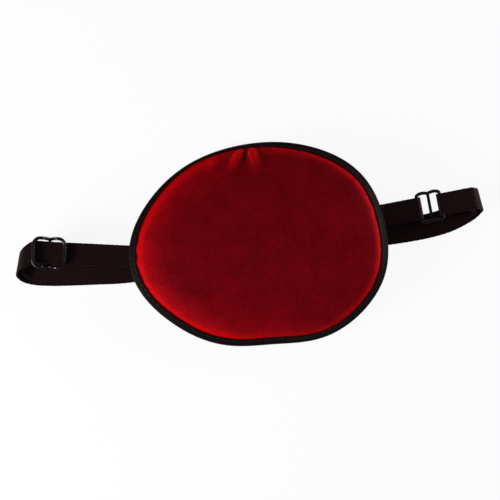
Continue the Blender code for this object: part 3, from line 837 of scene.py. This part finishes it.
def low_left_run():
    return [
        station(LEFT_EDGE - 43.0 * MM, 2.9 * MM, OUTER_LOW, 78),
        station(LEFT_EDGE - 36.0 * MM, 1.3 * MM, OUTER_LOW, 80),
        station(LEFT_EDGE - 28.0 * MM, 0.1 * MM, OUTER_LOW, 83),
        station(LEFT_EDGE - 16.0 * MM, -1.4 * MM, OUTER_LOW, 84),
        station(LOW_LEFT_X, LOW_LEFT_Y, OUTER_LOW, LEFT_CUT),
    ]


def low_right_run():
    return [
        station(RIGHT_FOLD.x, LOW_RIGHT_Y, OUTER_LOW, 90),
        station(RIGHT_EDGE + 10.0 * MM, -5.1 * MM, OUTER_LOW, 91),
        station(RIGHT_EDGE + 19.5 * MM, -4.8 * MM, OUTER_LOW, 93),
        station(RIGHT_EDGE + 28.0 * MM, -3.7 * MM, OUTER_LOW, 98),
        station(RIGHT_EDGE + 34.0 * MM, -2.0 * MM, OUTER_LOW, 103),
    ]


BAND_MIDDLE = station(0, -2.6 * MM, OUTER_LOW, 90)
BAND_LEFT = station(LEFT_EDGE / 2, -3.0 * MM, OUTER_LOW, 88)
BAND_RIGHT = station(RIGHT_EDGE / 2, -3.6 * MM, OUTER_LOW, 91)
INNER_MIDDLE = (UPPER + OUTER_LOW) / 2


def bend_left(piece):
    """Bakes the piece's transform into its mesh; the wing's turn comes from the strap's stations."""
    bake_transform(piece)


def bend_right(piece):
    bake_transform(piece)


def make_left_outer(material):
    """From behind the left rim, through the slider, round the fold and back behind the patch."""
    run = [
        on_slide(FOLD_ALONG + 9.5 * MM),
        on_slide(FOLD_ALONG, across=LEFT_CUT),
        on_slide(FOLD_ALONG * 0.7),
        on_slide(0),
        on_slide(-SLIDER_PITCH),
        station(LEFT_EDGE - 46.0 * MM, 10.9 * MM, UPPER, 76),
        station(LEFT_EDGE - 48.6 * MM, 8.9 * MM, UPPER - 1.1 * MM, 71),
        station(LEFT_EDGE - 49.0 * MM, 7.3 * MM, (UPPER + OUTER_LOW) / 2, 71),
        station(LEFT_EDGE - 47.4 * MM, 5.0 * MM, OUTER_LOW + 0.9 * MM, 74),
        *low_left_run(),
        BAND_LEFT,
        BAND_MIDDLE,
    ]
    nodes = ["left_tab", "left_strap_outer", "back_band_outer"]
    bend_left(ribbon("long_strap_left_outer", run, material, nodes))


def left_inner_turn():
    return [
        station(LEFT_EDGE - 46.4 * MM, 8.3 * MM, INNER_MIDDLE, 72),
        station(LEFT_EDGE - 45.2 * MM, 6.5 * MM, INNER_MIDDLE - 0.8 * MM, 75),
    ]


def make_left_inner(material):
    """The returning layer, from its turn at the left to the middle of the back."""
    low = layer([*low_left_run(), BAND_LEFT, BAND_MIDDLE], INNER_SHIFT, LAYER_RISE)
    run = [*left_inner_turn(), *low]
    bend_left(ribbon("long_strap_left_inner", run, material, ["left_strap_inner", "back_band_inner"]))


def make_right_outer(material):
    run = [
        BAND_MIDDLE,
        BAND_RIGHT,
        *low_right_run(),
        station(RIGHT_EDGE + 39.5 * MM, 0.3 * MM, OUTER_LOW + 0.3 * MM, 103),
        station(RIGHT_EDGE + 43.0 * MM, 2.6 * MM, OUTER_LOW + 1.5 * MM, 98),
        station(RIGHT_EDGE + 43.6 * MM, 3.6 * MM, UPPER - 1.8 * MM, 96),
        station(RIGHT_EDGE + 41.0 * MM, 4.6 * MM, UPPER, 93),
    ]
    bend_right(ribbon("long_strap_right_outer", run, material, ["right_strap_outer"]))


def make_right_inner(material):
    low = layer([BAND_RIGHT, *low_right_run()], INNER_SHIFT / 2, LAYER_RISE)
    middle = layer([BAND_MIDDLE], INNER_SHIFT, LAYER_RISE)
    run = [
        *middle,
        *low,
        station(RIGHT_EDGE + 38.2 * MM, 1.2 * MM, OUTER_LOW + LAYER_RISE + 0.2 * MM, 102),
        station(RIGHT_EDGE + 40.6 * MM, 3.2 * MM, INNER_MIDDLE, 96),
        station(RIGHT_EDGE + 38.4 * MM, 4.6 * MM, UPPER - LAYER_RISE + 0.1 * MM, 93),
    ]
    bend_right(ribbon("long_strap_right_inner", run, material, ["right_strap_inner"]))


def make_ring_tongue(material):
    """The elastic's loop round the ring's outer bar, out to where the wing starts to turn."""
    bar = 2 * RING_PITCH
    turn = half_turn(bar, RING_AT.z, LOOP_RADIUS, -1)
    out = (RIGHT_EDGE + 33.5 * MM - RING_AT.x) / RING_RUN.x
    run = [
        station(RIGHT_EDGE + 41.0 * MM, 4.6 * MM, UPPER, 93),
        on_ring(out, UPPER),
        on_ring((out + bar) / 2, UPPER),
        *[on_ring(along, z) for along, z in turn],
        on_ring(bar + 0.35 * (out - bar), RING_LOW + 0.2 * MM),
        on_ring(bar + 0.7 * (out - bar), UPPER - LAYER_RISE - 0.5 * MM),
        on_ring(out, UPPER - LAYER_RISE),
        station(RIGHT_EDGE + 38.4 * MM, 4.6 * MM, UPPER - LAYER_RISE + 0.1 * MM, 93),
    ]
    piece = ribbon("long_strap_ring_loop", run, material, ["ring_loop"], spacing=0.4 * MM)
    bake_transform(piece)


def make_short_strap(material):
    """From behind the right rim, round the ring's inner bar and back."""
    start = (RIGHT_FOLD.x - RING_AT.x) / RING_RUN.x
    turn = half_turn(0.0, RING_AT.z, LOOP_RADIUS, 1)
    run = [
        on_ring(start - 9.5 * MM, UPPER),
        on_ring(start, UPPER, 90),
        on_ring(start / 2, UPPER),
        *[on_ring(along, z) for along, z in turn],
        on_ring(start / 2, RING_LOW),
        on_ring(start, RING_LOW, 90),
        on_ring(start - 9.5 * MM, RING_LOW),
    ]
    nodes = ["short_strap", "right_tab_upper", "right_tab_lower"]
    bend_right(ribbon("short_strap_loop", run, material, nodes, spacing=0.4 * MM))


def make_strap_end(material):
    """The long elastic's end, sewn round the slider's middle bar."""
    level = UPPER - SLIDER_DEPTH
    turn = half_turn(0.0, level, END_RADIUS, 1)
    tail = 6.0 * MM
    run = [
        left_inner_turn()[0],
        station(LEFT_EDGE - 45.8 * MM, 9.9 * MM, INNER_MIDDLE + 0.7 * MM, 72),
        station(LEFT_EDGE - 43.9 * MM, 11.2 * MM, level + END_RADIUS - 0.15 * MM, 76),
        on_slide(-SLIDER_PITCH / 2, level + END_RADIUS),
        *[on_slide(along, z) for along, z in turn],
        on_slide(-tail / 2, level - END_RADIUS),
        on_slide(-tail, level - END_RADIUS),
    ]
    piece = ribbon("long_strap_end", run, material, ["strap_end"], STRAP_END_THICKNESS, 0.4 * MM)
    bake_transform(piece)


def make_bartack(name, node, body, centre, run, side, material):
    """A dense zigzag of stitches across a strap."""
    mesh = bmesh.new()
    across = Vector((-run.y, run.x, 0))
    turns, length, width = 12, 7.0 * MM, 1.8 * MM
    points = []
    for k in range(2 * turns + 1):
        out = (k / (2 * turns) - 0.5) * length
        points.append(centre + across * out + run * (width / 2 if k % 2 else -width / 2))
    for a, b in zip(points, points[1:]):
        add_stitch(mesh, a, b, Vector((0, 0, side)), 0.13 * MM)
    bmesh.ops.recalc_face_normals(mesh, faces=mesh.faces)
    piece = finished(name, mesh, material, [node])
    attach(piece, body)


def make_bartacks(material):
    under = UPPER - STRAP_THICKNESS / 2 - 0.05 * MM
    left = SLIDER_AT + SLIDE_RUN * (FOLD_ALONG + 5.5 * MM)
    left.z = under
    make_bartack("left_tab_stitches", "left_tab_bartack", "patch", left, SLIDE_RUN, -1, material)
    right = RING_AT + RING_RUN * ((RIGHT_FOLD.x - RING_AT.x) / RING_RUN.x - 5.5 * MM)
    right.z = RING_LOW - STRAP_THICKNESS / 2 - 0.05 * MM
    make_bartack("right_tab_stitches", "right_tab_bartack", "patch", right, RING_RUN, -1, material)
    end = SLIDER_AT + SLIDE_RUN * (-3.6 * MM)
    end.z = UPPER - SLIDER_DEPTH - END_RADIUS - STRAP_END_THICKNESS / 2 - 0.05 * MM
    make_bartack("strap_end_stitches", "strap_end_bartack", "slider", end, SLIDE_RUN, -1, material)


# ---------------------------------------------------------------- buckles


def frame_loop(pitch, rise, corner, steps=56):
    """A buckle's rim, (along, across, height) from its middle bar: a waist and two lobes."""
    side = []
    for k in range(steps + 1):
        share = math.cos(math.pi * k / steps)
        bulge = LOBE_BULGE * math.sin(math.pi * abs(share))
        turned = max(0.0, abs(share) - CORNER_SHARE) / (1 - CORNER_SHARE)
        drop = corner * (1 - math.sqrt(1 - turned**2))
        climb = min(1.0, abs(share) / CORNER_SHARE)
        side.append((pitch * share, BAR_REACH + bulge - drop, rise * climb * climb * (3 - 2 * climb)))
    return side + [(along, -across, height) for along, across, height in reversed(side)]


def tube_object(name, points, radius, cyclic):
    curve = bpy.data.curves.new(name, "CURVE")
    curve.dimensions = "3D"
    curve.bevel_depth = radius
    curve.bevel_resolution = 6
    curve.use_fill_caps = not cyclic
    spline = curve.splines.new("POLY")
    spline.points.add(len(points) - 1)
    for dot, point in zip(spline.points, points):
        dot.co = (*point, 1)
    spline.use_cyclic_u = cyclic
    obj = bpy.data.objects.new(name, curve)
    bpy.context.scene.collection.objects.link(obj)
    return obj


def evaluated(obj):
    """A new mesh of the object as its curve or modifiers leave it."""
    bpy.context.view_layer.update()
    graph = bpy.context.evaluated_depsgraph_get()
    return bpy.data.meshes.new_from_object(obj.evaluated_get(graph))


def baked_mesh(obj):
    """The object's evaluated mesh, welded, and the object removed."""
    data = evaluated(obj)
    bpy.data.objects.remove(obj)
    welded = bmesh.new()
    welded.from_mesh(data)
    bmesh.ops.remove_doubles(welded, verts=welded.verts, dist=0.001 * MM)
    welded.to_mesh(data)
    welded.free()
    return data


def make_buckle(name, node, body, origin, run, shape, material):
    """A moulded rim with its middle bar joined in."""
    side = Vector((-run.y, run.x, 0))

    def world(along, across, height):
        return origin + run * along + side * across + Vector((0, 0, height))

    rim = tube_object(name + "_rim", [world(*point) for point in frame_loop(*shape)], BAR_RADIUS, True)
    ends = [world(0, -BAR_REACH, 0), world(0, BAR_REACH, 0)]
    bar = tube_object(name + "_bar", ends, BAR_RADIUS * BAR_SLIM, False)
    rim_data, bar_data = baked_mesh(rim), baked_mesh(bar)
    piece = bpy.data.objects.new(name, rim_data)
    cutter = bpy.data.objects.new(name + "_joined_bar", bar_data)
    for obj in (piece, cutter):
        bpy.context.scene.collection.objects.link(obj)
    join = piece.modifiers.new("middle bar", "BOOLEAN")
    join.operation = "UNION"
    join.object = cutter
    data = evaluated(piece)
    for obj in (piece, cutter):
        bpy.data.objects.remove(obj)
    mesh = bmesh.new()
    mesh.from_mesh(data)
    bmesh.ops.remove_doubles(mesh, verts=mesh.verts, dist=0.003 * MM)
    bmesh.ops.dissolve_degenerate(mesh, edges=mesh.edges, dist=0.004 * MM)
    done = finished(name, mesh, material, [node])
    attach(done, body)


def make_buckles(material):
    slider_middle = SLIDER_AT - Vector((0, 0, SLIDER_DEPTH))
    outer_rise = SLIDER_DEPTH + STRAP_THICKNESS / 2 + 0.125 * MM + BAR_RADIUS
    slider_shape = (SLIDER_PITCH, outer_rise, SLIDER_CORNER)
    make_buckle("slider_frame", "slider", "slider", slider_middle, SLIDE_RUN, slider_shape, material)
    ring_middle = RING_AT + RING_RUN * RING_PITCH
    ring_shape = (RING_PITCH, 0.0, RING_CORNER)
    make_buckle("ring_frame", "ring", "ring", ring_middle, RING_RUN, ring_shape, material)


# ---------------------------------------------------------------- stage


CAMERA_DISTANCE = 0.9
VIEW_WIDTH = 0.222
VIEW_CENTRE = Vector((-0.0037, -0.0021, 0.006))
VIEW_ROLL = math.radians(-9.3)


def make_camera():
    data = bpy.data.cameras.new("camera")
    data.sensor_width = 36
    data.lens = 36 * CAMERA_DISTANCE / VIEW_WIDTH
    camera = bpy.data.objects.new("camera", data)
    camera.location = VIEW_CENTRE + Vector((0, 0, CAMERA_DISTANCE))
    camera.rotation_euler = (0, 0, VIEW_ROLL)
    bpy.context.scene.collection.objects.link(camera)
    bpy.context.scene.camera = camera


def make_lamp(name, place, target, size, power):
    data = bpy.data.lights.new(name, "AREA")
    data.shape = "RECTANGLE"
    data.size, data.size_y = size
    data.energy = power
    lamp = bpy.data.objects.new(name, data)
    lamp.location = place
    lamp.rotation_euler = (Vector(target) - Vector(place)).to_track_quat("-Z", "Y").to_euler()
    bpy.context.scene.collection.objects.link(lamp)


def make_stage():
    bpy.ops.mesh.primitive_plane_add(size=6, location=(0, 0, CAD_BOX[0][2] - 0.02 * MM))
    floor = bpy.context.object
    floor.name = "floor"
    floor.data.materials.append(floor_finish())
    world = bpy.data.worlds.new("studio")
    bpy.context.scene.world = world
    world.use_nodes = True
    background = world.node_tree.nodes["Background"]
    background.inputs["Color"].default_value = (1, 1, 1, 1)
    background.inputs["Strength"].default_value = 0.14
    make_lamp("left_window", (-0.62, -0.14, 0.15), (0, 0, 0), (0.42, 0.16), 10.0)
    make_lamp("right_window", (0.62, 0.05, 0.09), (0, 0, 0), (0.42, 0.12), 6.0)
    make_lamp("overhead", (0.1, 0.2, 1.1), (0, 0, 0), (0.6, 0.6), 0.8)
    bpy.context.scene.view_settings.view_transform = "Standard"


def main():
    make_camera()
    make_stage()
    tape, thread, strap_cloth, plastic = binding_tape(), sewing_thread(), elastic(), buckle_plastic()
    make_front_cover(red_satin())
    make_padding(wadding())
    make_back_cover(back_lining())
    make_binding(tape)
    make_seams(thread)
    make_left_outer(strap_cloth)
    make_left_inner(strap_cloth)
    make_right_outer(strap_cloth)
    make_right_inner(strap_cloth)
    make_ring_tongue(strap_cloth)
    make_short_strap(strap_cloth)
    make_strap_end(strap_cloth)
    make_bartacks(thread)
    make_buckles(plastic)


main()
